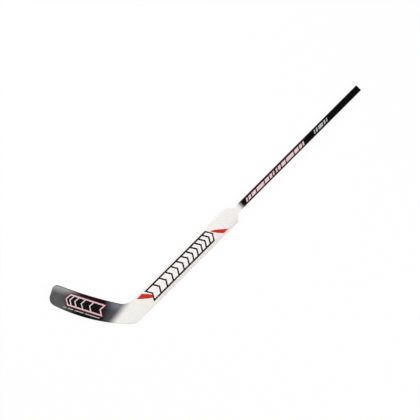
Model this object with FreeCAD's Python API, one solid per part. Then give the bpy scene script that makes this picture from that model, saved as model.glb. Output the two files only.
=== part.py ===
# Hockey goalie stick. A laminated wooden handle runs down through a foam-cored paddle and is tongued
# into a wooden heel block. A curved, foam-cored blade is tied to the same block by a rib. Graphite mat
# and glass cloth cover the faces, and rounded strips close the edges of the paddle and the blade.
#
# Millimetres. +X runs up the handle from the heel to the butt, +Y points to the toe's side, and +Z is
# the way the front face looks, so the stick lies on its back on the plane Z = 0. The origin is on the
# back of the paddle, on the handle's centre line, level with the heel's corner.

import FreeCAD
import Part

import math
import os

Vector = FreeCAD.Vector

# Handle: aspen plies between two birch plies, with glass cloth on the two wide faces
heel_to_butt = 1412.0
handle_width = 30.0
aspen_plies = 5
aspen_ply = 3.0
birch_ply = 1.9
handle_skin = 0.6
handle_corner = 4.5

# Paddle: the widened part, from the heel's corner to the shoulders
paddle_length = 625.0
paddle_width = 86.0
shoulder_angle = 45.0
shoulder_radius = 9.0

# Faces and edges of the paddle and the blade
graphite_mat = 0.4
glass_skin = 0.6
edge_strip = 9.0
edge_round = 6.5

# Heel block, where the handle's tongue and the blade's rib are glued in
heel_block_top = 92.0
heel_radius = 60.0
throat_radius = 60.0
tongue_plies = 3
tongue_length = 45.0

# Blade: u runs from the heel's corner to the toe, along the ice, and v stands up from the ice
lie_angle = 117.0
blade_reach = 394.0
blade_height = 96.0
blade_joint = 112.0
ice_point = 246.0
rocker_radius = 735.0
top_low_point = 265.0
top_radius = 1800.0
toe_top_radius = 22.0
toe_bottom_radius = 36.0
toe_strip_length = 46.0
toe_thickness = 15.0
curve_depth = 24.0
rib_height = 10.0
rib_socket = 30.0

# How far a cutting block runs past what it cuts, and how close two points are one point
overrun = 30.0
same_point = 1e-4

handle_thickness = 2 * (handle_skin + birch_ply) + aspen_plies * aspen_ply
face_wrap = graphite_mat + glass_skin
body_thickness = handle_thickness + 2 * face_wrap
shoulder_run = (paddle_width - handle_width) / 2 / math.tan(math.radians(shoulder_angle))
shoulder_top = paddle_length + shoulder_run
front_rise = curve_depth + toe_thickness - body_thickness
reach = heel_to_butt + overrun
everywhere = (-reach, reach)

lean = math.radians(lie_angle) - math.pi / 2
blade_along = Vector(-math.sin(lean), math.cos(lean), 0)
blade_up = Vector(math.cos(lean), math.sin(lean), 0)
heel_corner = Vector(0, -paddle_width / 2, 0)


# The blade's lines


def bottom_edge(u):
    return rocker_radius - math.sqrt(rocker_radius**2 - (u - ice_point) ** 2)


def top_edge(u):
    return blade_height + top_radius - math.sqrt(top_radius**2 - (u - top_low_point) ** 2)


def blade_point(u, v, z=0):
    return heel_corner + blade_along * u + blade_up * (v - bottom_edge(0)) + Vector(0, 0, z)


def bend(u, rise):
    # How far a face has risen at u, on an arc that starts flat at the joint and ends this high at the toe
    run = blade_reach - blade_joint
    radius = (run**2 + rise**2) / (2 * rise)
    bent_run = max(0, u - blade_joint)
    return radius - math.copysign(math.sqrt(radius**2 - bent_run**2), rise)


def throat_corner():
    # Where the paddle's edge on the toe's side would meet the blade's top edge
    centre = blade_point(top_low_point, blade_height + top_radius)
    y = paddle_width / 2
    return Vector(centre.x - math.sqrt(top_radius**2 - (y - centre.y) ** 2), y, 0)


# Blocks, prisms and slices that the pieces are cut from


def prism(curves, direction):
    wire = Part.Wire([curve.toShape() for curve in curves])
    return Part.Face(wire).extrude(direction)


def block(x_range, y_range, z_range):
    size = [high - low for low, high in (x_range, y_range, z_range)]
    return Part.makeBox(*size, Vector(x_range[0], y_range[0], z_range[0]))


def blade_block(u_range, v_range):
    # A block square to the blade, from under the stick to over it
    order = [(0, 0), (1, 0), (1, 1), (0, 1), (0, 0)]
    corners = [blade_point(u_range[i], v_range[j], -reach) for i, j in order]
    return Part.Face(Part.makePolygon(corners)).extrude(Vector(0, 0, 2 * reach))


def face_points(depth, rise):
    # One face's line along the blade: the flat's far end, the joint, and two points of the bend
    end = blade_reach + overrun
    stations = (-reach, blade_joint, (blade_joint + end) / 2, end)
    return [blade_point(u, -reach, depth + bend(u, rise)) for u in stations]


def back_face(depth):
    return face_points(depth, curve_depth)


def front_face(depth):
    return face_points(body_thickness - depth, front_rise)


def slice_between(low, high):
    # All that lies between two faces, flat over the paddle and bent along the blade
    curves = [
        Part.LineSegment(low[0], low[1]),
        Part.Arc(low[1], low[2], low[3]),
        Part.LineSegment(low[3], high[3]),
        Part.Arc(high[3], high[2], high[1]),
        Part.LineSegment(high[1], high[0]),
        Part.LineSegment(high[0], low[0]),
    ]
    return prism(curves, blade_up * (2 * reach))


def upright_edges(solid, point):
    def over_point(vertex):
        return math.hypot(vertex.X - point.x, vertex.Y - point.y) < same_point

    return [edge for edge in solid.Edges if all(over_point(vertex) for vertex in edge.Vertexes)]


def outline_prism():
    # The outline of the paddle, heel and blade, stood up through the whole stick
    throat = throat_corner()
    throat_u = (throat - heel_corner).dot(blade_along)
    top_middle = (throat_u + blade_reach) / 2
    bottom_middle = blade_reach / 2
    toe_top = blade_point(blade_reach, top_edge(blade_reach))
    toe_bottom = blade_point(blade_reach, bottom_edge(blade_reach))
    shoulders = [Vector(paddle_length, side * paddle_width / 2, 0) for side in (1, -1)]
    necks = [Vector(shoulder_top, side * handle_width / 2, 0) for side in (1, -1)]
    curves = [
        Part.LineSegment(necks[0], shoulders[0]),
        Part.LineSegment(shoulders[0], throat),
        Part.Arc(throat, blade_point(top_middle, top_edge(top_middle)), toe_top),
        Part.LineSegment(toe_top, toe_bottom),
        Part.Arc(toe_bottom, blade_point(bottom_middle, bottom_edge(bottom_middle)), heel_corner),
        Part.LineSegment(heel_corner, shoulders[1]),
        Part.LineSegment(shoulders[1], necks[1]),
        Part.LineSegment(necks[1], necks[0]),
    ]
    solid = prism(curves, Vector(0, 0, 2 * reach))
    solid.translate(Vector(0, 0, -reach))
    corners = [(shoulder, shoulder_radius) for shoulder in shoulders]
    corners += [(throat, throat_radius), (heel_corner, heel_radius)]
    corners += [(toe_top, toe_top_radius), (toe_bottom, toe_bottom_radius)]
    for point, radius in corners:
        solid = solid.makeFillet(radius, upright_edges(solid, point))
    return solid


def inset_prism(solid, distance):
    # The same outline drawn in by a distance
    floor = min(solid.Faces, key=lambda face: face.CenterOfMass.z)
    return floor.makeOffset2D(-distance).extrude(Vector(0, 0, 2 * reach))


def rounded_body(solid):
    # The paddle, heel and blade in one, with every edge of the outline rounded but the end at the neck
    body = solid.common(slice_between(back_face(0), front_face(0)))

    def is_wall(face):
        # Steeper than 45 degrees half-way along the face
        u_low, u_high, v_low, v_high = face.ParameterRange
        normal = face.normalAt((u_low + u_high) / 2, (v_low + v_high) / 2)
        return abs(normal.z) < math.cos(math.pi / 4)

    def is_rim(edge):
        walls = [is_wall(face) for face in body.ancestorsOfType(edge, Part.Face)]
        return any(walls) and not all(walls) and edge.BoundBox.XMin < shoulder_top - same_point

    return body.makeFillet(edge_round, [edge for edge in body.Edges if is_rim(edge)])


outline = outline_prism()
core_outline = inset_prism(outline, edge_strip)
body = rounded_body(outline)
core_slice = slice_between(back_face(face_wrap), front_face(face_wrap))
body_core = body.common(core_slice)
inner_core = core_outline.common(core_slice)
regions = {
    "paddle": blade_block((-reach, blade_joint), everywhere),
    "blade": blade_block((blade_joint, reach), everywhere),
}
pieces = {}


# Handle: a stack of layers, the middle plies longer by the tongue

handle_span = (-handle_width / 2, handle_width / 2)
shaft = block((shoulder_top, heel_to_butt), handle_span, (face_wrap, face_wrap + handle_thickness))
shaft_edges = [edge for edge in shaft.Edges if edge.BoundBox.XLength > same_point]
shaft = shaft.makeFillet(handle_corner, shaft_edges)

handle_layers = [("handle_back_glass", handle_skin), ("handle_birch_ply_back", birch_ply)]
handle_layers += [(f"handle_aspen_ply_{number + 1}", aspen_ply) for number in range(aspen_plies)]
handle_layers += [("handle_birch_ply_front", birch_ply), ("handle_front_glass", handle_skin)]
middle_layer = (len(handle_layers) - 1) / 2
layer_bottom = face_wrap
for number, (name, thickness) in enumerate(handle_layers):
    in_tongue = abs(number - middle_layer) < tongue_plies / 2
    start = heel_block_top - (tongue_length if in_tongue else 0)
    bar = block((start, heel_to_butt), handle_span, (layer_bottom, layer_bottom + thickness))
    pieces[name] = bar.common(body).fuse(bar.common(shaft)).removeSplitter()
    layer_bottom += thickness


# Paddle: foam and an edge strip on each side of the handle

beside_handle = {"toe": (handle_width / 2, reach), "heel": (-reach, -handle_width / 2)}
for side, y_range in beside_handle.items():
    half = block((heel_block_top, reach), y_range, everywhere)
    pieces[f"paddle_{side}_foam"] = inner_core.common(half)
    pieces[f"paddle_{side}_edge"] = body_core.common(half).cut(core_outline)


# Blade: foam above and below a rib that reaches back into the heel block

rib_low = (blade_height - rib_height) / 2
rib_high = rib_low + rib_height
rib_start = blade_joint - rib_socket
pieces["blade_rib"] = inner_core.common(blade_block((rib_start, reach), (rib_low, rib_high)))
pieces["blade_upper_foam"] = inner_core.common(blade_block((blade_joint, reach), (rib_high, reach)))
pieces["blade_lower_foam"] = inner_core.common(blade_block((blade_joint, reach), (-reach, rib_low)))

blade_rim = body_core.common(regions["blade"]).cut(core_outline)
toe_split = blade_reach - toe_strip_length
pieces["blade_toe_edge"] = blade_rim.common(blade_block((toe_split, reach), everywhere))
pieces["blade_top_edge"] = blade_rim.common(blade_block((-reach, toe_split), (rib_high, reach)))
pieces["blade_bottom_edge"] = blade_rim.common(blade_block((-reach, toe_split), (-reach, rib_low)))


# Heel block: slotted for the handle's tongue and the blade's rib

below_paddle = block((-reach, heel_block_top), everywhere, everywhere)
heel_block = body_core.common(regions["paddle"]).common(below_paddle)
slotted_for = [pieces[name] for name, thickness in handle_layers] + [pieces["blade_rib"]]
pieces["heel_block"] = heel_block.cut(slotted_for)


# Faces: graphite mat under glass cloth, on the back and the front of the paddle and the blade

for region_name, region in regions.items():
    for face_name, face in (("back", back_face), ("front", front_face)):
        glass = slice_between(face(0), face(glass_skin))
        graphite = slice_between(face(glass_skin), face(face_wrap))
        pieces[f"{region_name}_{face_name}_glass"] = body.common(glass).common(region)
        pieces[f"{region_name}_{face_name}_graphite"] = body.common(graphite).common(region)


os.makedirs("parts", exist_ok=True)
for name, shape in pieces.items():
    solids = shape.Solids
    print(name, len(solids), shape.isValid(), round(shape.Volume))
    solids[0].exportStep(f"parts/{name}.step")
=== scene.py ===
import math

import bmesh
import bpy
from mathutils import Matrix, Vector


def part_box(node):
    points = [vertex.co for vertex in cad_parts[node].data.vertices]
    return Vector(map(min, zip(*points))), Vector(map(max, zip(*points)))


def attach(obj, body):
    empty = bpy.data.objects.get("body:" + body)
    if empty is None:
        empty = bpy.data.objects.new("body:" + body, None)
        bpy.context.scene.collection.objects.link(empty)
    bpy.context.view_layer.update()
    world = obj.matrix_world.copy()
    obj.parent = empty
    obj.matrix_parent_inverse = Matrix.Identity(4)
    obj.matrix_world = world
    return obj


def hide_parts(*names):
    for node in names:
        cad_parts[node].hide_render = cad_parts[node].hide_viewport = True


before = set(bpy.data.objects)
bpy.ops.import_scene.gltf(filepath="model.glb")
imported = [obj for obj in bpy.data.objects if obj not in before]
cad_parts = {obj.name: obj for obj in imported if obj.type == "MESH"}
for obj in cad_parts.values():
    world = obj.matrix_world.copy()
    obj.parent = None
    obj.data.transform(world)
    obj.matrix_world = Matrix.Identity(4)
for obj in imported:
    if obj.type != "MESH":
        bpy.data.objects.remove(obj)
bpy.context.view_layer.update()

mm = 0.001
print("frame loaded:", len(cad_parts), "nodes")


# Common tools

meshing = dict(
    cutSlack=0.001 * mm,
    trimSlack=0.01 * mm,
    mergeReach=0.002 * mm,
    sliver=0.005 * mm,
    sharpAngle=math.radians(35),
)
noiseSpan = (0.3, 0.7)  # where most values of a noise texture lie
softFade = dict(interpolation_type="SMOOTHSTEP")
colourMix = dict(data_type="RGBA")  # a Mix node then takes colours in sockets 6 and 7 and gives output 2


def newVerts(result):
    return [item for item in result["geom"] if isinstance(item, bmesh.types.BMVert)]


def wholeOf(bm):
    return bm.verts[:] + bm.edges[:] + bm.faces[:]


def cutLoops(bm, normal, places):
    # extra edge loops square to a direction
    slack = meshing["cutSlack"]
    for place in places:
        bmesh.ops.bisect_plane(bm, geom=wholeOf(bm), dist=slack, plane_co=place, plane_no=normal)


def keepBehind(bm, place, normal):
    # takes off what stands in front of a plane
    slack = meshing["trimSlack"]
    bmesh.ops.bisect_plane(
        bm, geom=wholeOf(bm), dist=slack, plane_co=place, plane_no=normal, clear_outer=True
    )


def smoothStep(value, start, end):
    share = min(1, max(0, (value - start) / (end - start)))
    return share * share * (3 - 2 * share)


def linkMesh(bm, name, material):
    mesh = bpy.data.meshes.new(name)
    bm.to_mesh(mesh)
    bm.free()
    mesh.materials.append(material)
    made = bpy.data.objects.new(name, mesh)
    bpy.context.scene.collection.objects.link(made)
    return made


def makePiece(bm, name, material, replaced=(), wall=None):
    bmesh.ops.remove_doubles(bm, verts=bm.verts[:], dist=meshing["mergeReach"])
    bmesh.ops.dissolve_degenerate(bm, edges=bm.edges[:], dist=meshing["sliver"])
    bmesh.ops.recalc_face_normals(bm, faces=bm.faces[:])
    for face in bm.faces:
        face.smooth = True
    for edge in bm.edges:
        edge.smooth = edge.is_manifold and edge.calc_face_angle() < meshing["sharpAngle"]
    piece = linkMesh(bm, name, material)
    if wall:
        shell = piece.modifiers.new("wall", "SOLIDIFY")
        shell.thickness = wall
        shell.offset = -1
        shell.use_even_offset = True
    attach(piece, "root")
    if replaced:
        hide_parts(*replaced)


def colour(hexValue):
    # sRGB to linear
    channels = [int(hexValue[start : start + 2], 16) / 255 for start in (0, 2, 4)]
    return tuple(c / 12.92 if c <= 0.04045 else ((c + 0.055) / 1.055) ** 2.4 for c in channels) + (1,)


def setSockets(tree, node, values):
    # links what comes from another node and sets the rest
    for socket, value in values.items():
        if isinstance(value, bpy.types.NodeSocket):
            tree.links.new(value, node.inputs[socket])
        else:
            node.inputs[socket].default_value = value


def addNode(tree, kind, values=None, stops=(), **settings):
    node = tree.nodes.new("ShaderNode" + kind)
    for name, value in settings.items():
        setattr(node, name, value)
    setSockets(tree, node, values or {})
    for number, (place, hexValue) in enumerate(stops):
        ramp = node.color_ramp.elements
        stop = ramp[number] if number < len(ramp) else ramp.new(place)
        stop.position = place
        stop.color = colour(hexValue)
    return node


def startMaterial(name):
    material = bpy.data.materials.new(name)
    material.use_nodes = True
    tree = material.node_tree
    return material, tree, tree.nodes["Principled BSDF"], addNode(tree, "TexCoord").outputs["Object"]


def finishShader(tree, shader, look, base, relief, roughness):
    # gives a surface its colour, relief and gloss
    raised = {"Strength": look["bump"], "Distance": look["bumpDepth"], "Height": relief}
    bump = addNode(tree, "Bump", raised).outputs[0]
    setSockets(tree, shader, {"Base Color": base, "Normal": bump, "Roughness": roughness})


def waveScale(spacing):
    # a wave texture of scale 1 repeats every pi / 10
    return math.pi / 10 / spacing


# The stick lies on its back: x runs up the handle, y to the toe's side, z out of the front face

handle = dict(
    buttX=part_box("handle_front_glass")[1].x,
    halfWidth=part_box("handle_front_glass")[1].y,
    backZ=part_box("handle_back_glass")[0].z,
    frontZ=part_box("handle_front_glass")[1].z,
    cornerRadius=4.5 * mm,
    cornerSegments=7,
    coat=0.25 * mm,  # the lacquer stands this far off the wood
    wall=0.2 * mm,
    loopSpacing=60 * mm,
)
paddle = dict(
    halfWidth=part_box("paddle_toe_edge")[1].y,
    shoulderTopX=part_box("paddle_toe_edge")[1].x,
    thickness=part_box("paddle_front_glass")[1].z,
    shoulderRadius=9 * mm,
    shoulderWrap=1 * mm,  # the wrap's thickness over the shoulders
    neckRadius=9 * mm,
    neckRun=20 * mm,  # how far the wrap runs on up the handle past the shoulders
    neckStep=0.35 * mm,  # what is left of the wrap's thickness where it ends on the handle
    neckLoopSpacing=4 * mm,
    edgeRound=6.5 * mm,
    edgeSegments=7,
    edgeBorder=1.2 * mm,  # keeps the broad faces flat up to the rounded edge
    wall=0.95 * mm,
    backLift=0.3 * mm,  # leaves room for the print on the back
    loopSpacing=15 * mm,
    arcStep=4 * mm,
    leastArcSteps=3,
    crown=1.4 * mm,  # how much lower the front face is at the edges
    crownLoops=4,  # on each side of the centre line
    crownLoopSpacing=8 * mm,
    crownHeel=(20 * mm, 75 * mm),  # the crown starts here
    crownNeck=(640 * mm, 590 * mm),  # and ends here
)
blade = dict(
    lie=math.radians(117),
    reach=394 * mm,
    height=96 * mm,
    joint=112 * mm,
    icePoint=246 * mm,
    rockerRadius=735 * mm,
    topLowPoint=265 * mm,
    topRadius=1800 * mm,
    toeTopRadius=22 * mm,
    toeBottomRadius=36 * mm,
    throatRadius=60 * mm,
    heelRadius=60 * mm,
    toeThickness=15 * mm,
    curveDepth=23.85 * mm,  # a hair under the solids' 24, so that the shell stays in their box
    loopSpacing=7 * mm,
)
handle["middleZ"] = (handle["frontZ"] + handle["backZ"]) / 2
handle["halfDepth"] = (handle["frontZ"] - handle["backZ"]) / 2
paddle["neckX"] = paddle["shoulderTopX"] + paddle["neckRun"]
paddle["neckHalf"] = handle["halfWidth"] + paddle["neckStep"]

# the blade's own frame: u along it from the heel's corner, v up from the ice
bladeAlong = Vector((math.cos(blade["lie"]), math.sin(blade["lie"]), 0))
bladeUp = Vector((math.sin(blade["lie"]), -math.cos(blade["lie"]), 0))
heelCorner = Vector((0, -paddle["halfWidth"], 0))
heelRise = blade["rockerRadius"] - math.sqrt(blade["rockerRadius"] ** 2 - blade["icePoint"] ** 2)


def bladePoint(u, v):
    return heelCorner + bladeAlong * u + bladeUp * (v - heelRise)


def bladeStations():
    count = round((blade["reach"] - blade["joint"]) / blade["loopSpacing"])
    return [bladePoint(blade["joint"] + blade["loopSpacing"] * number, 0) for number in range(count)]


def faceRise(u, rise):
    # an arc that leaves the flat at the joint and is this high at the toe
    run = blade["reach"] - blade["joint"]
    radius = (run**2 + rise**2) / (2 * rise)
    return radius - math.sqrt(radius**2 - max(0, u - blade["joint"]) ** 2)


def bendBlade(bm):
    frontRise = blade["curveDepth"] + blade["toeThickness"] - paddle["thickness"]
    for vert in bm.verts:
        u = (vert.co - heelCorner).dot(bladeAlong)
        back = faceRise(u, blade["curveDepth"])
        front = paddle["thickness"] + faceRise(u, frontRise)
        vert.co.z = back + (front - back) * vert.co.z / paddle["thickness"]


def clearHandle(bm):
    # the wrap's rounded edges close in on the handle's corners no nearer than on its faces
    corner = handle["cornerRadius"]
    for vert in bm.verts:
        if vert.co.x < paddle["shoulderTopX"]:
            continue
        depth = vert.co.z - handle["middleZ"]
        outY = max(0, abs(vert.co.y) - handle["halfWidth"] + corner)
        outZ = max(0, abs(depth) - handle["halfDepth"] + corner)
        short = corner + paddle["neckStep"] - math.hypot(outY, outZ)
        if short > 0 and outY + outZ > 0:
            grow = short / math.hypot(outY, outZ)
            vert.co.y += math.copysign(outY * grow, vert.co.y)
            vert.co.z += math.copysign(outZ * grow, depth)


def crownPaddle(bm):
    # the front face falls away a little from the centre line to both edges
    rows = range(-paddle["crownLoops"], paddle["crownLoops"] + 1)
    cutLoops(bm, (0, 1, 0), [Vector((0, paddle["crownLoopSpacing"] * number, 0)) for number in rows])
    for vert in bm.verts:
        fade = smoothStep(vert.co.x, *paddle["crownHeel"]) * smoothStep(vert.co.x, *paddle["crownNeck"])
        outward = min(1, abs(vert.co.y) / paddle["halfWidth"])
        vert.co.z *= 1 - fade * outward**2 * paddle["crown"] / paddle["thickness"]


# Sprayed lacquer of the whole stick

lacquer = dict(
    white="F9F8F3",
    whiteShade="F6F2EE",  # a little warmer in broad patches
    shadeSize=180 * mm,
    paintedShadeWhite="EDE9E5",  # painted shade: the white is greyer along the paddle's edge on the heel's side, which faces away from the light
    paintedShadeAcross=(-12 * mm, -40 * mm),
    paintedShadeAlong=(90 * mm, 170 * mm),
    black="070708",
    grey="4E4E50",
    toeTop="A3A3A4",  # the grey lightens to the blade's top edge, partly in the paint and partly as a painted highlight of the light along the blade's top
    heelTopHighlight="7A7B85",
    topHighlightBand=(65 * mm, 94 * mm),
    topHighlightReach=(120 * mm, 300 * mm),
    mottle=14 * mm,
    mottleShare=0.22,
    darkBand=((104 * mm, 166 * mm), (256 * mm, 344 * mm)),
    greyEdge=(0.04, 0.5),  # the grey runs out between these shares of the rounded edge's depth
    haze="4E0F1A",  # airbrushed behind the blade's print
    hazeMiddle=(246 * mm, 54 * mm),
    hazeSize=(116 * mm, 44 * mm),
    hazeCore=0.5,  # full up to this share of its size
    hazeShare=0.75,
    handleFade=(671 * mm, 701 * mm),
    heelFade=(67 * mm, 108 * mm),
    heelFadeLean=0.36,  # the fade starts sooner at the top of the blade
    heelFadeMiddle=55 * mm,
    sprayDot=0.9 * mm,
    sprayReach=2.4 * mm,
    threadSpacing=2.4 * mm,  # glass cloth is nearer 1.2, drawn coarser to show
    threadWander=0.4,
    threadShade=0.95,  # the coat's brightness between the threads
    peelSize=5 * mm,
    peelShare=2.0,  # how far the orange peel stands up, against the threads
    bump=0.05,
    bumpDepth=0.05 * mm,
    roughness=(0.24, 0.34),
    ior=1.48,
    specular=0.22,
)


def sprayPlaces(tree, place):
    # x and y on the stick and u and v on the blade, with x and u broken into spray dots
    spray = {"Vector": place, "Scale": 1 / lacquer["sprayDot"], "Detail": 1.0}
    dots = addNode(tree, "TexNoise", spray).outputs["Fac"]
    low, high = noiseSpan
    spread = addNode(tree, "MapRange", {0: dots, 1: low, 2: high, 3: -1.0, 4: 1.0}).outputs[0]
    turned = {"Vector": place, "Location": heelCorner, "Rotation": (0, 0, blade["lie"])}
    onBlade = addNode(tree, "Mapping", turned, vector_type="TEXTURE").outputs[0]
    stickAxes = addNode(tree, "SeparateXYZ", {0: place}).outputs
    bladeAxes = addNode(tree, "SeparateXYZ", {0: onBlade}).outputs
    reach = lacquer["sprayReach"]
    x, u = [
        addNode(tree, "Math", {0: spread, 1: reach, 2: axes[0]}, operation="MULTIPLY_ADD").outputs[0]
        for axes in (stickAxes, bladeAxes)
    ]
    v = addNode(tree, "Math", {0: heelRise, 1: bladeAxes[1]}, operation="SUBTRACT").outputs[0]
    return x, stickAxes[1], u, v


def whitePaint(tree, place, x, y):
    # white with warmer patches, and painted shade along the paddle's edge on the heel's side, starting
    # above the heel
    patches = {"Vector": place, "Scale": 1 / lacquer["shadeSize"], "Detail": 2.0}
    shade = addNode(tree, "TexNoise", patches).outputs["Fac"]
    tones = {0: shade, 6: colour(lacquer["white"]), 7: colour(lacquer["whiteShade"])}
    white = addNode(tree, "Mix", tones, **colourMix).outputs[2]
    # painted shade: the white turns greyer towards the paddle's edge on the heel's side
    start, end = lacquer["paintedShadeAcross"]
    thin = addNode(tree, "MapRange", {0: y, 1: start, 2: end}, **softFade).outputs[0]
    start, end = lacquer["paintedShadeAlong"]
    thin = addNode(tree, "MapRange", {0: x, 1: start, 2: end, 4: thin}, **softFade).outputs[0]
    edge = colour(lacquer["paintedShadeWhite"])
    return addNode(tree, "Mix", {0: thin, 6: white, 7: edge}, **colourMix).outputs[2]


def bladePaint(tree, place, u, v):
    # grey, lighter along its top (partly paint, partly a painted highlight), under a dark band that leaves
    # the toe and heel grey
    start, end = lacquer["topHighlightReach"]
    toeShare = addNode(tree, "MapRange", {0: u, 1: start, 2: end}).outputs[0]
    tops = {0: toeShare, 6: colour(lacquer["heelTopHighlight"]), 7: colour(lacquer["toeTop"])}
    top = addNode(tree, "Mix", tops, **colourMix).outputs[2]
    # the lighter top, partly paint and partly a painted highlight, fades in across this band
    start, end = lacquer["topHighlightBand"]
    topHighlightShare = addNode(tree, "MapRange", {0: v, 1: start, 2: end}).outputs[0]
    clouds = {"Vector": place, "Scale": 1 / lacquer["mottle"], "Detail": 3.0}
    mottle = addNode(tree, "TexNoise", clouds).outputs["Fac"]
    share = lacquer["mottleShare"]
    lighter = addNode(tree, "Math", {0: mottle, 1: share, 2: topHighlightShare}, operation="MULTIPLY_ADD").outputs[0]
    grey = addNode(tree, "Mix", {0: lighter, 6: colour(lacquer["grey"]), 7: top}, **colourMix).outputs[2]
    (start, end), (toeStart, toeEnd) = lacquer["darkBand"]
    heelGrey = addNode(tree, "MapRange", {0: u, 1: start, 2: end, 3: 1.0, 4: 0.0}, **softFade).outputs[0]
    toeGrey = addNode(tree, "MapRange", {0: u, 1: toeStart, 2: toeEnd}, **softFade).outputs[0]
    bare = addNode(tree, "Math", {0: heelGrey, 1: toeGrey}, operation="MAXIMUM").outputs[0]

    # the grey is sprayed on the broad faces only, so the rounded edges stay dark
    drop = addNode(tree, "Attribute", attribute_name="edgeDrop").outputs["Fac"]
    start, end = lacquer["greyEdge"]
    onFace = addNode(tree, "MapRange", {0: drop, 1: start, 2: end, 3: 1.0, 4: 0.0}, **softFade).outputs[0]
    bare = addNode(tree, "Math", {0: bare, 1: onFace}, operation="MULTIPLY").outputs[0]
    tone = addNode(tree, "Mix", {0: bare, 6: colour(lacquer["black"]), 7: grey}, **colourMix).outputs[2]

    # a red haze over both, in an ellipse
    ellipse = {
        "Vector": place,
        "Location": bladePoint(*lacquer["hazeMiddle"]),
        "Rotation": (0, 0, blade["lie"]),
        "Scale": (*lacquer["hazeSize"], 1),
    }
    around = addNode(tree, "Mapping", ellipse, vector_type="TEXTURE").outputs[0]
    reach = addNode(tree, "VectorMath", {0: around}, operation="LENGTH").outputs["Value"]
    core, share = lacquer["hazeCore"], lacquer["hazeShare"]
    haze = addNode(tree, "MapRange", {0: reach, 1: 1.0, 2: core, 4: share}, **softFade).outputs[0]
    return addNode(tree, "Mix", {0: haze, 6: tone, 7: colour(lacquer["haze"])}, **colourMix).outputs[2]


def sprayedLacquer():
    # polyurethane lacquer sprayed on glass cloth: a wet gloss with the cloth just showing through,
    # and airbrushed fades that break into dots at their edges
    material, tree, shader, place = startMaterial("sprayedLacquer")
    x, y, u, v = sprayPlaces(tree, place)
    white = whitePaint(tree, place, x, y)
    bladeTone = bladePaint(tree, place, u, v)
    lean = lacquer["heelFadeLean"]
    leaning = addNode(tree, "Math", {0: v, 1: lean, 2: u}, operation="MULTIPLY_ADD").outputs[0]
    start, end = [edge + lean * lacquer["heelFadeMiddle"] for edge in lacquer["heelFade"]]
    heelFade = addNode(tree, "MapRange", {0: leaning, 1: start, 2: end}, **softFade).outputs[0]
    coat = addNode(tree, "Mix", {0: heelFade, 6: white, 7: bladeTone}, **colourMix).outputs[2]
    start, end = lacquer["handleFade"]
    handleFade = addNode(tree, "MapRange", {0: x, 1: start, 2: end}, **softFade).outputs[0]
    black = colour(lacquer["black"])
    coat = addNode(tree, "Mix", {0: handleFade, 6: coat, 7: black}, **colourMix).outputs[2]

    # cloth and orange peel under the gloss
    scale = waveScale(lacquer["threadSpacing"])
    threads = {"Vector": place, "Scale": scale, "Distortion": lacquer["threadWander"]}
    warp, weft = [
        addNode(tree, "TexWave", threads, bands_direction=direction).outputs["Fac"] for direction in "XY"
    ]
    cloth = addNode(tree, "Math", {0: warp, 1: weft}, operation="MULTIPLY").outputs[0]
    thinned = addNode(tree, "MapRange", {0: cloth, 3: lacquer["threadShade"], 4: 1.0}).outputs[0]
    woven = addNode(tree, "HueSaturation", {"Value": thinned, "Color": coat}).outputs[0]
    dimples = {"Vector": place, "Scale": 1 / lacquer["peelSize"], "Detail": 1.0}
    peel = addNode(tree, "TexNoise", dimples).outputs["Fac"]
    share = lacquer["peelShare"]
    relief = addNode(tree, "Math", {0: peel, 1: share, 2: cloth}, operation="MULTIPLY_ADD").outputs[0]
    (low, high), (wet, dull) = noiseSpan, lacquer["roughness"]
    gloss = addNode(tree, "MapRange", {0: peel, 1: low, 2: high, 3: wet, 4: dull}).outputs[0]
    finishShader(tree, shader, lacquer, woven, relief, gloss)
    setSockets(tree, shader, {"IOR": lacquer["ior"], "Specular IOR Level": lacquer["specular"]})
    return material


# Outline of the paddle, heel and blade, run round with straight lines and spun arcs


def drawOutline(bm, start, moves):
    # each move is the point to reach, and for an arc its centre and its turn, 1 left or -1 right
    first = vert = bm.verts.new(start)
    for point, centre, turn in moves:
        if centre is None:
            last, vert = vert, bm.verts.new(point)
            bm.edges.new((last, vert))
            continue
        begin, end = vert.co - centre, point - centre
        angle = math.atan2(begin.cross(end).z, begin.dot(end))
        if angle * turn < 0:
            angle += turn * 2 * math.pi
        steps = max(paddle["leastArcSteps"], round(abs(angle) * begin.length / paddle["arcStep"]))
        spun = bmesh.ops.spin(bm, geom=[vert], cent=centre, axis=(0, 0, 1), angle=angle, steps=steps)
        vert = next(item for item in spun["geom_last"] if isinstance(item, bmesh.types.BMVert))
    bm.edges.new((vert, first))
    return bmesh.ops.contextual_create(bm, geom=bm.edges[:])["faces"][0]


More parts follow.
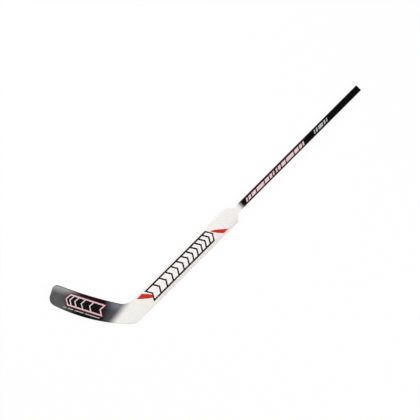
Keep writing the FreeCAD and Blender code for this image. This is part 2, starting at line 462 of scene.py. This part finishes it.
def bodyOutline(bm):
    half, neckHalf = paddle["halfWidth"], paddle["neckHalf"]
    shoulderRadius, neckRadius = paddle["shoulderRadius"], paddle["neckRadius"]
    topRadius, rockerRadius = blade["topRadius"], blade["rockerRadius"]

    # the toe-side shoulder, at 45 degrees
    slope = Vector((1, 1, 0)).normalized()
    tangent = math.tan(math.radians(45) / 2)  # from a corner to its arc's end, as a share of the radius
    topX = paddle["shoulderTopX"] + paddle["shoulderWrap"]
    neckX = topX - paddle["neckStep"] + neckRadius * tangent
    shoulderX = topX - (half - handle["halfWidth"]) - shoulderRadius * tangent
    neck = Vector((neckX, neckHalf + neckRadius, 0))
    shoulder = Vector((shoulderX, half - shoulderRadius, 0))
    shoulderMoves = [
        (Vector((paddle["neckX"], neckHalf, 0)), None, 0),
        (Vector((neckX, neckHalf, 0)), None, 0),
        (neck - slope * neckRadius, neck, -1),
        (shoulder + slope * shoulderRadius, None, 0),
        (Vector((shoulderX, half, 0)), shoulder, 1),
    ]

    # centres of the arcs that touch two edges
    topU, topV = blade["topLowPoint"], blade["height"] + topRadius
    topCentre = bladePoint(topU, topV)
    rockerCentre = bladePoint(blade["icePoint"], rockerRadius)

    def besidePaddle(centre, y, distance):
        return Vector((centre.x - math.sqrt(distance**2 - (y - centre.y) ** 2), y, 0))

    def besideToe(radius, centreU, centreV, distance):
        u = blade["reach"] - radius
        return bladePoint(u, centreV - math.sqrt(distance**2 - (u - centreU) ** 2))

    def touching(centre, radius, other):
        return centre + (other - centre).normalized() * radius

    throat = besidePaddle(topCentre, half + blade["throatRadius"], topRadius - blade["throatRadius"])
    heel = besidePaddle(rockerCentre, blade["heelRadius"] - half, rockerRadius - blade["heelRadius"])
    toeTopRadius, toeLowRadius = blade["toeTopRadius"], blade["toeBottomRadius"]
    toeTop = besideToe(toeTopRadius, topU, topV, topRadius + toeTopRadius)
    toeLow = besideToe(toeLowRadius, blade["icePoint"], rockerRadius, rockerRadius - toeLowRadius)
    bladeMoves = [
        (Vector((throat.x, half, 0)), None, 0),
        (touching(topCentre, topRadius, throat), throat, -1),
        (touching(topCentre, topRadius, toeTop), topCentre, -1),
        (toeTop + bladeAlong * toeTopRadius, toeTop, 1),
        (toeLow + bladeAlong * toeLowRadius, None, 0),
        (touching(rockerCentre, rockerRadius, toeLow), toeLow, 1),
        (touching(rockerCentre, rockerRadius, heel), rockerCentre, 1),
        (Vector((heel.x, -half, 0)), heel, 1),
    ]

    # back up the heel's side, the shoulder's moves mirrored and the other way round
    mirrored = [
        (Vector((point.x, -point.y, 0)), centre and Vector((centre.x, -centre.y, 0)), turn)
        for point, centre, turn in shoulderMoves
    ]
    backMoves = [(mirrored[-1][0], None, 0)]
    for number in range(len(mirrored) - 1, 0, -1):
        backMoves.append((mirrored[number - 1][0], *mirrored[number][1:]))
    return drawOutline(bm, shoulderMoves[0][0], shoulderMoves[1:] + bladeMoves + backMoves)


def bodyShell():
    # the painted outside of the paddle, heel and blade, open at the neck
    bm = bmesh.new()
    face = bodyOutline(bm)
    depth = paddle["thickness"] - paddle["backLift"]
    lifted = newVerts(bmesh.ops.extrude_face_region(bm, geom=[face]))
    bmesh.ops.translate(bm, verts=lifted, vec=(0, 0, depth))
    bmesh.ops.translate(bm, verts=bm.verts[:], vec=(0, 0, paddle["backLift"]))
    bmesh.ops.recalc_face_normals(bm, faces=bm.faces[:])

    def atNeck(item):
        return min(vert.co.x for vert in item.verts) > paddle["neckX"] - meshing["trimSlack"]

    def isFlat(edge):
        return abs(edge.verts[0].co.z - edge.verts[1].co.z) < meshing["trimSlack"]

    rim = [edge for edge in bm.edges if isFlat(edge) and not atNeck(edge)]
    offset, segments = paddle["edgeRound"], paddle["edgeSegments"]
    bmesh.ops.bevel(
        bm, geom=rim, offset=offset, segments=segments, profile=0.5, affect="EDGES", material=-1
    )
    openEnd = [face for face in bm.faces if atNeck(face)]
    bmesh.ops.delete(bm, geom=openEnd, context="FACES_ONLY")
    broad = sorted(bm.faces, key=lambda face: face.calc_area())[-2:]
    bmesh.ops.inset_region(bm, faces=broad, thickness=paddle["edgeBorder"], use_even_offset=True)
    spacing = paddle["loopSpacing"]
    rows = range(1, int(paddle["neckX"] / spacing) + 1)
    cutLoops(bm, (1, 0, 0), [Vector((spacing * number, 0, 0)) for number in rows])
    neckRows = range(round(paddle["neckRun"] / paddle["neckLoopSpacing"]))
    neckPlaces = [paddle["shoulderTopX"] + paddle["neckLoopSpacing"] * number for number in neckRows]
    cutLoops(bm, (1, 0, 0), [Vector((place, 0, 0)) for place in neckPlaces])
    cutLoops(bm, bladeAlong, bladeStations())

    # how far each point is below its broad face, for the paint, as a share of the rounding
    drop = bm.verts.layers.float.new("edgeDrop")
    for vert in bm.verts:
        below = min(vert.co.z - paddle["backLift"], paddle["thickness"] - vert.co.z)
        vert[drop] = below / paddle["edgeRound"]

    # the faces come down to the handle over the neck
    middle = paddle["thickness"] / 2
    neckShare = (handle["halfDepth"] + paddle["neckStep"]) / middle
    for vert in bm.verts:
        ease = smoothStep(vert.co.x, paddle["shoulderTopX"], paddle["neckX"])
        vert.co.z = middle + (vert.co.z - middle) * (1 + (neckShare - 1) * ease)
    clearHandle(bm)
    crownPaddle(bm)
    bendBlade(bm)
    return bm


def buildBody(coat):
    joint = bladePoint(blade["joint"], 0)
    layers = [f"{side}_{layer}" for side in ("front", "back") for layer in ("glass", "graphite")]
    paddleShell = bodyShell()
    bladeShell = paddleShell.copy()
    keepBehind(paddleShell, joint, bladeAlong)
    keepBehind(bladeShell, joint, -bladeAlong)
    covered = ["paddle_" + part for part in layers + ["toe_edge", "heel_edge"]] + ["heel_block"]
    makePiece(paddleShell, "paddle_shell", coat, covered, paddle["wall"])
    covered = ["blade_" + part for part in layers + ["toe_edge", "top_edge", "bottom_edge"]]
    makePiece(bladeShell, "blade_shell", coat, covered, paddle["wall"])
    print("paddle and blade shells made")


def buildHandle(coat):
    # a sleeve of lacquer round the plies, open at the butt, where their ends show
    bm = bmesh.new()
    lift = Vector((0, handle["coat"], handle["coat"]))
    low = Vector((paddle["shoulderTopX"], -handle["halfWidth"], handle["backZ"])) - lift
    high = Vector((handle["buttX"], handle["halfWidth"], handle["frontZ"])) + lift
    size = high - low
    bmesh.ops.create_cube(bm, size=1, matrix=Matrix.LocRotScale((low + high) / 2, None, size))
    ends = sorted(bm.faces, key=lambda face: abs(face.normal.x))[-2:]
    bmesh.ops.delete(bm, geom=ends, context="FACES_ONLY")
    corners = [edge for edge in bm.edges if edge.calc_length() > size.x / 2]
    offset, segments = handle["cornerRadius"] + handle["coat"], handle["cornerSegments"]
    bmesh.ops.bevel(
        bm, geom=corners, offset=offset, segments=segments, profile=0.5, affect="EDGES", material=-1
    )
    rows = range(1, int(size.x / handle["loopSpacing"]) + 1)
    cutLoops(bm, (1, 0, 0), [high - Vector((handle["loopSpacing"] * number, 0, 0)) for number in rows])
    makePiece(bm, "handle_sleeve", coat, wall=handle["wall"])
    print("handle sleeve made")


# Printed stripes, the same on both faces: chevrons on the paddle and blade, slanted dashes elsewhere

inks = dict(
    black="231E1B",
    white="F4F0EE",
    red="C62D1F",
    deepRed="6E1422",
    blush="DCC7CB",
    paleGrey="B3B2B4",
    bladeBlack="080709",
)
screenPrint = dict(
    film=0.12 * mm,
    patch=30 * mm,
    patchValue=1.1,  # the ink is a little brighter where the film is thinner
    mesh=1.8 * mm,  # a printing screen's mesh is nearer 0.3, drawn coarser to show
    meshWander=0.25,
    bump=0.08,
    bumpDepth=0.03 * mm,
    roughness=(0.34, 0.44),
    specular=0.22,
)


def printedInk(name):
    # screen-printed ink: an even film with a faint mesh mark and a softer gloss than the lacquer
    material, tree, shader, place = startMaterial(name + "ScreenPrint")
    full = colour(inks[name])
    patches = {"Vector": place, "Scale": 1 / screenPrint["patch"], "Detail": 3.0}
    patch = addNode(tree, "TexNoise", patches).outputs["Fac"]
    thin = addNode(tree, "HueSaturation", {"Value": screenPrint["patchValue"], "Color": full}).outputs[0]
    ink = addNode(tree, "Mix", {0: patch, 6: full, 7: thin}, **colourMix).outputs[2]
    screen = {"Vector": place, "Scale": 1 / screenPrint["mesh"], "Randomness": screenPrint["meshWander"]}
    relief = addNode(tree, "TexVoronoi", screen).outputs["Distance"]
    (low, high), (bright, dull) = noiseSpan, screenPrint["roughness"]
    gloss = addNode(tree, "MapRange", {0: patch, 1: low, 2: high, 3: bright, 4: dull}).outputs[0]
    finishShader(tree, shader, screenPrint, ink, relief, gloss)
    setSockets(tree, shader, {"Specular IOR Level": screenPrint["specular"]})
    return material


stickFrame = Matrix.Identity(4)
bladeFrame = Matrix((bladeAlong, bladeUp, (0, 0, 1))).transposed().to_4x4()
bladeFrame.translation = bladePoint(0, 0)


def addFilm(bm, spot, steps, shape, lift, film):
    # a strip of cells on the front and on the back, put in place by the shape and raised to a film
    for z, side in ((spot["frontZ"] + lift, 1), (spot["backZ"] - lift, -1)):
        made = bmesh.ops.create_grid(bm, x_segments=1, y_segments=steps, size=0.5)["verts"]
        for vert in made:
            vert.co = spot["frame"] @ Vector((*shape(vert.co.x, vert.co.y), z))
        faces = {face for vert in made for face in vert.link_faces}
        lifted = newVerts(bmesh.ops.extrude_face_region(bm, geom=list(faces)))
        bmesh.ops.translate(bm, verts=lifted, vec=(0, 0, side * film))


def addStripe(bm, spot, place, size, layer):
    # a bar of two halves, slanted or folded to a chevron

    def bar(x, y):
        across = y * size[1]
        slant = spot["slant"] * (abs(across) if spot["chevron"] else across)
        return place[0] + x * size[0] - slant, place[1] + across

    addFilm(bm, spot, 2, bar, layer * screenPrint["film"], screenPrint["film"])


def rowLength(widths, gap):
    return sum(widths) + gap * (len(widths) - 1)


def addRow(bm, spot, middle, widths, gap, height, layer, border=0):
    # bars side by side about the middle, each grown all round by the border
    start = middle[0] - rowLength(widths, gap) / 2
    for width in widths:
        size = (width + 2 * border, height + 2 * border)
        addStripe(bm, spot, (start + width / 2, middle[1]), size, layer)
        start += width + gap


paddlePrint = dict(
    frame=stickFrame,
    frontZ=paddle["thickness"],
    backZ=paddle["backLift"],
    chevron=True,
    slant=0.6,
    middle=(329.5 * mm, 2 * mm),
    widths=[width * mm for width in (34, 31, 28, 26, 24, 22, 20, 19, 17, 16, 15, 14)],
    height=46 * mm,
    line=8.5 * mm,
    border=7.5 * mm,
    flashes=(
        # middle, side of the wide end, width there, and how far the tip reaches over the centre line
        dict(x=127 * mm, side=1, width=33 * mm, over=25 * mm),
        dict(x=530 * mm, side=-1, width=26 * mm, over=17 * mm),
    ),
    flashEnd=33 * mm,
    flashFilm=0.06 * mm,  # thinner than the band that covers its tip
    flashTip=0.3 * mm,
    flashTaper=0.7,  # below 1 the stripe stays wide for longer
    flashSteps=8,
)


def addFlash(bm, flash):
    # a stripe at 45 degrees across the paddle, widest near its edge
    spot = paddlePrint
    run = spot["flashEnd"] + flash["over"]

    def taper(x, y):
        share = y + 0.5
        across = flash["side"] * (share * run - flash["over"])
        widening = math.sin(share * math.pi / 2) ** spot["flashTaper"]
        return flash["x"] + x * (flash["width"] * widening + spot["flashTip"]) - across, across

    addFilm(bm, spot, spot["flashSteps"], taper, 0, spot["flashFilm"])


def printPaddle(ink):
    spot = paddlePrint
    band, fills, flashes = bmesh.new(), bmesh.new(), bmesh.new()
    length = rowLength(spot["widths"], spot["line"])
    addRow(band, spot, spot["middle"], [length], 0, spot["height"], 0, spot["border"])
    addRow(fills, spot, spot["middle"], spot["widths"], spot["line"], spot["height"], 1)
    for flash in spot["flashes"]:
        addFlash(flashes, flash)
    prints = {
        "paddle_chevron_band": (band, "black"),
        "paddle_chevrons": (fills, "white"),
        "paddle_flashes": (flashes, "red"),
    }
    for name, (bm, inkName) in prints.items():
        crownPaddle(bm)
        makePiece(bm, name, ink[inkName])


handlePrint = dict(
    frame=stickFrame,
    frontZ=handle["frontZ"] + handle["coat"],
    backZ=handle["backZ"] - handle["coat"],
    chevron=False,
    slant=-0.6,
    middles=((806 * mm, -1 * mm), (988 * mm, -1 * mm)),
    widths=[width * mm for width in (8, 14, 24, 44, 24, 14, 8)],
    gap=6 * mm,
    height=14 * mm,
    border=1.6 * mm,
    buttMiddle=(1178 * mm, 0),
    buttWidths=[width * mm for width in (6, 9, 26, 9, 6)],
)


def printHandle(ink):
    spot = handlePrint
    edges, dashes, marks = bmesh.new(), bmesh.new(), bmesh.new()
    for middle in spot["middles"]:
        addRow(edges, spot, middle, spot["widths"], spot["gap"], spot["height"], 0, spot["border"])
        addRow(dashes, spot, middle, spot["widths"], spot["gap"], spot["height"], 1)
    addRow(marks, spot, spot["buttMiddle"], spot["buttWidths"], spot["gap"], spot["height"], 0)
    makePiece(edges, "handle_dash_edges", ink["deepRed"])
    makePiece(dashes, "handle_dashes", ink["blush"])
    makePiece(marks, "handle_marks", ink["paleGrey"])


bladePrint = dict(
    frame=bladeFrame,
    frontZ=paddle["thickness"],
    backZ=paddle["backLift"],
    chevron=True,
    slant=0.6,
    middle=(246 * mm, 54 * mm),
    widths=[width * mm for width in (42, 32, 24, 17, 11)],
    height=40 * mm,
    line=5.6 * mm,
    glow=4 * mm,
    pinMiddle=(242 * mm, 17 * mm),
    pinWidths=[width * mm for width in (66, 40, 24, 14)],
    pinGap=7 * mm,
    pinHeight=4 * mm,
)


def printBlade(ink):
    spot = bladePrint
    glow, band, fills, pins = bmesh.new(), bmesh.new(), bmesh.new(), bmesh.new()
    length = rowLength(spot["widths"], spot["line"])
    addRow(glow, spot, spot["middle"], [length], 0, spot["height"], 0, spot["line"] + spot["glow"])
    addRow(band, spot, spot["middle"], [length], 0, spot["height"], 1, spot["line"])
    addRow(fills, spot, spot["middle"], spot["widths"], spot["line"], spot["height"], 2)
    pinSpot = {**spot, "chevron": False}
    addRow(pins, pinSpot, spot["pinMiddle"], spot["pinWidths"], spot["pinGap"], spot["pinHeight"], 0)
    prints = {
        "blade_chevron_glow": (glow, "deepRed"),
        "blade_chevron_band": (band, "blush"),
        "blade_chevrons": (fills, "bladeBlack"),
        "blade_pinstripe": (pins, "paleGrey"),
    }
    for name, (bm, inkName) in prints.items():
        cutLoops(bm, bladeAlong, bladeStations())
        bendBlade(bm)
        makePiece(bm, name, ink[inkName])


def buildPrints():
    ink = {name: printedInk(name) for name in inks}
    printPaddle(ink)
    printHandle(ink)
    printBlade(ink)
    print("prints made")


# Wood, glass cloth and foam inside the shells, which show only at the butt

woods = dict(
    aspen=dict(tones=((0.25, "E8DABA"), (0.85, "CBB48B")), ring=2.2 * mm),
    birch=dict(tones=((0.25, "D3B285"), (0.85, "B08A5C")), ring=1.7 * mm),
    ash=dict(tones=((0.25, "C9A878"), (0.85, "94714A")), ring=3.4 * mm),
    leans=(24, -38, 11, -17, 43, -29, 33),  # degrees, because each ply is cut from another board
    shift=23 * mm,
    ringWander=2.0,
    ringShare=0.5,
    fibre=0.5 * mm,
    fibreStretch=60,
    fibreShare=0.5,
    glue="7D5730",
    glueLine=0.2 * mm,  # nearer 0.1, drawn coarser to show
    bump=0.3,
    bumpDepth=0.1 * mm,
    roughness=0.62,
)


def sawnWood(name, kind, number):
    # sawn ply: growth rings along the grain, open pores where the end is cut across, and a dark line
    # of glue on both faces
    wood = woods[kind]
    low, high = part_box(name)
    material, tree, shader, place = startMaterial(f"{kind}SawnPly{number}")
    board = {
        "Vector": place,
        "Location": (0, woods["shift"] * number, 0),
        "Rotation": (math.radians(woods["leans"][number]), 0, 0),
        "Scale": (1 / woods["fibreStretch"], 1, 1),
    }
    along = addNode(tree, "Mapping", board).outputs[0]
    growth = {
        "Vector": along,
        "Scale": waveScale(wood["ring"]),
        "Distortion": woods["ringWander"],
        "Detail": 2.0,
    }
    rings = addNode(tree, "TexWave", growth, bands_direction="Y", wave_profile="SAW").outputs["Fac"]
    strands = {"Vector": along, "Scale": 1 / woods["fibre"], "Detail": 3.0}
    fibres = addNode(tree, "TexNoise", strands).outputs["Fac"]
    grain = addNode(tree, "Math", {0: rings, 1: woods["ringShare"]}, operation="MULTIPLY").outputs[0]
    share = woods["fibreShare"]
    grain = addNode(tree, "Math", {0: fibres, 1: share, 2: grain}, operation="MULTIPLY_ADD").outputs[0]
    tint = addNode(tree, "ValToRGB", {0: grain}, stops=wood["tones"]).outputs[0]
    height = addNode(tree, "SeparateXYZ", {0: place}).outputs[2]
    fromMiddle = addNode(tree, "MapRange", {0: height, 1: low.z, 2: high.z, 3: -1.0, 4: 1.0}).outputs[0]
    fromMiddle = addNode(tree, "Math", {0: fromMiddle}, operation="ABSOLUTE").outputs[0]
    glueShare = 1 - 2 * woods["glueLine"] / (high.z - low.z)
    glued = addNode(tree, "Math", {0: fromMiddle, 1: glueShare}, operation="GREATER_THAN").outputs[0]
    cut = addNode(tree, "Mix", {0: glued, 6: tint, 7: colour(woods["glue"])}, **colourMix).outputs[2]
    finishShader(tree, shader, woods, cut, fibres, woods["roughness"])
    return material


foam = dict(
    tones=((0.1, "D9CBA0"), (0.6, "EFE6C8")),
    cell=1.1 * mm,
    bump=0.5,
    bumpDepth=0.3 * mm,
    roughness=0.9,
)


def cutFoam():
    # rigid foam cut with a hot wire: open cells with a dry, chalky face
    material, tree, shader, place = startMaterial("cutRigidFoam")
    cells = addNode(tree, "TexVoronoi", {"Vector": place, "Scale": 1 / foam["cell"]}).outputs["Distance"]
    tint = addNode(tree, "ValToRGB", {0: cells}, stops=foam["tones"]).outputs[0]
    finishShader(tree, shader, foam, tint, cells, foam["roughness"])
    return material


glass = dict(
    tones=((0.2, "A8A67E"), (0.8, "D3D2B8")),  # resin and yarn
    yarnSpacing=1.2 * mm,
    yarnWander=0.8,
    bump=0.3,
    bumpDepth=0.1 * mm,
    roughness=0.38,
)


def wovenGlass():
    # glass cloth set in resin and sawn with the plies: a pale green edge with the yarns just showing
    material, tree, shader, place = startMaterial("wovenGlassInResin")
    weave = {"Vector": place, "Scale": waveScale(glass["yarnSpacing"]), "Distortion": glass["yarnWander"]}
    yarns = addNode(tree, "TexWave", weave, bands_direction="Y").outputs["Fac"]
    tint = addNode(tree, "ValToRGB", {0: yarns}, stops=glass["tones"]).outputs[0]
    finishShader(tree, shader, glass, tint, yarns, glass["roughness"])
    return material


def dressInside():
    plies = sorted(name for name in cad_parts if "ply" in name)
    kinds = ["birch" if "birch" in name else "aspen" for name in plies]
    finishes = {name: sawnWood(name, kinds[number], number) for number, name in enumerate(plies)}
    finishes["blade_rib"] = sawnWood("blade_rib", "ash", 0)
    cloth, cut = wovenGlass(), cutFoam()
    finishes |= {name: cloth for name in ("handle_front_glass", "handle_back_glass")}
    finishes |= {name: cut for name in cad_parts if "foam" in name}
    for name, material in finishes.items():
        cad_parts[name].data.materials.clear()
        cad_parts[name].data.materials.append(material)
    print("wood, glass and foam set")


# Floor, light and camera

photo = dict(
    size=420,
    scale=4.35 * mm,  # one pixel of the photograph
    originPixel=(129.2, 317.15),  # where the part's origin is in the photograph
    handleAngle=math.radians(45),
    distance=7.0,  # from the paddle's front to the camera
)
photoTurn = Matrix.Rotation(-photo["handleAngle"], 4, "Z")
stage = dict(
    floorSize=30.0,
    floorColour="F7F7F7",
    seenShare=0.94,  # how much of the floor is seen as plain white, where the rest takes the shadow
    aim=(0.55, 0.05, 0),  # where the lamps point, near the middle of the stick
    # pale walls under a dark ceiling
    sky=((0.0, "DEDEDE"), (0.55, "BEBEBE"), (0.85, "363636"), (1.0, "2A2A2A")),
)
lamps = dict(
    # metres and watts, with right and up as seen in the photograph
    key=dict(right=-2.7, up=1.8, height=3.4, size=3.2, power=148),
    fill=dict(right=2.6, up=-1.7, height=3.2, size=3.0, power=85),
)


def buildFloor():
    material = bpy.data.materials.new("paintedStudioFloor")
    material.use_nodes = True
    tree = material.node_tree
    tree.nodes.clear()
    plain = addNode(tree, "BsdfDiffuse", {"Color": colour(stage["floorColour"])}).outputs[0]
    white = addNode(tree, "Emission", {"Strength": 1.0}).outputs[0]
    rays = addNode(tree, "LightPath").outputs
    seen = rays["Is Camera Ray"]
    for kind in ("Is Glossy Ray", "Is Transmission Ray"):
        seen = addNode(tree, "Math", {0: seen, 1: rays[kind]}, operation="MAXIMUM").outputs[0]
    share = addNode(tree, "Math", {0: seen, 1: stage["seenShare"]}, operation="MULTIPLY").outputs[0]
    mixed = addNode(tree, "MixShader", {0: share, 1: plain, 2: white}).outputs[0]
    addNode(tree, "OutputMaterial", {0: mixed})
    bm = bmesh.new()
    bmesh.ops.create_grid(bm, x_segments=1, y_segments=1, size=stage["floorSize"])
    linkMesh(bm, "floor", material)


def buildLight():
    aim = Vector(stage["aim"])
    for name, lamp in lamps.items():
        light = bpy.data.lights.new(name, "AREA")
        light.size = lamp["size"]
        light.energy = lamp["power"]
        made = bpy.data.objects.new(name, light)
        made.location = aim + photoTurn @ Vector((lamp["right"], lamp["up"], lamp["height"]))
        made.rotation_euler = (aim - made.location).to_track_quat("-Z", "Y").to_euler()
        bpy.context.scene.collection.objects.link(made)
    world = bpy.data.worlds.new("studio")
    bpy.context.scene.world = world
    world.use_nodes = True
    tree = world.node_tree
    tree.nodes.clear()
    height = addNode(tree, "SeparateXYZ", {0: addNode(tree, "TexCoord").outputs["Generated"]}).outputs[2]
    sky = addNode(tree, "ValToRGB", {0: height}, stops=stage["sky"]).outputs[0]
    air = addNode(tree, "Background", {"Color": sky, "Strength": 1.0}).outputs[0]
    addNode(tree, "OutputWorld", {0: air})


def buildCamera():
    camera = bpy.data.objects.new("camera", bpy.data.cameras.new("camera"))
    bpy.context.scene.collection.objects.link(camera)
    bpy.context.scene.camera = camera
    right = photo["size"] / 2 - photo["originPixel"][0]
    up = photo["originPixel"][1] - photo["size"] / 2
    middle = photoTurn @ Vector((right, up, 0)) * photo["scale"]
    camera.location = middle + Vector((0, 0, paddle["thickness"] + photo["distance"]))
    camera.rotation_euler = (0, 0, -photo["handleAngle"])
    camera.data.lens = camera.data.sensor_width * photo["distance"] / (photo["size"] * photo["scale"])


coat = sprayedLacquer()
buildBody(coat)
buildHandle(coat)
buildPrints()
dressInside()
buildFloor()
buildLight()
buildCamera()
bpy.context.scene.view_settings.view_transform = "Standard"
print("floor, light and camera set")
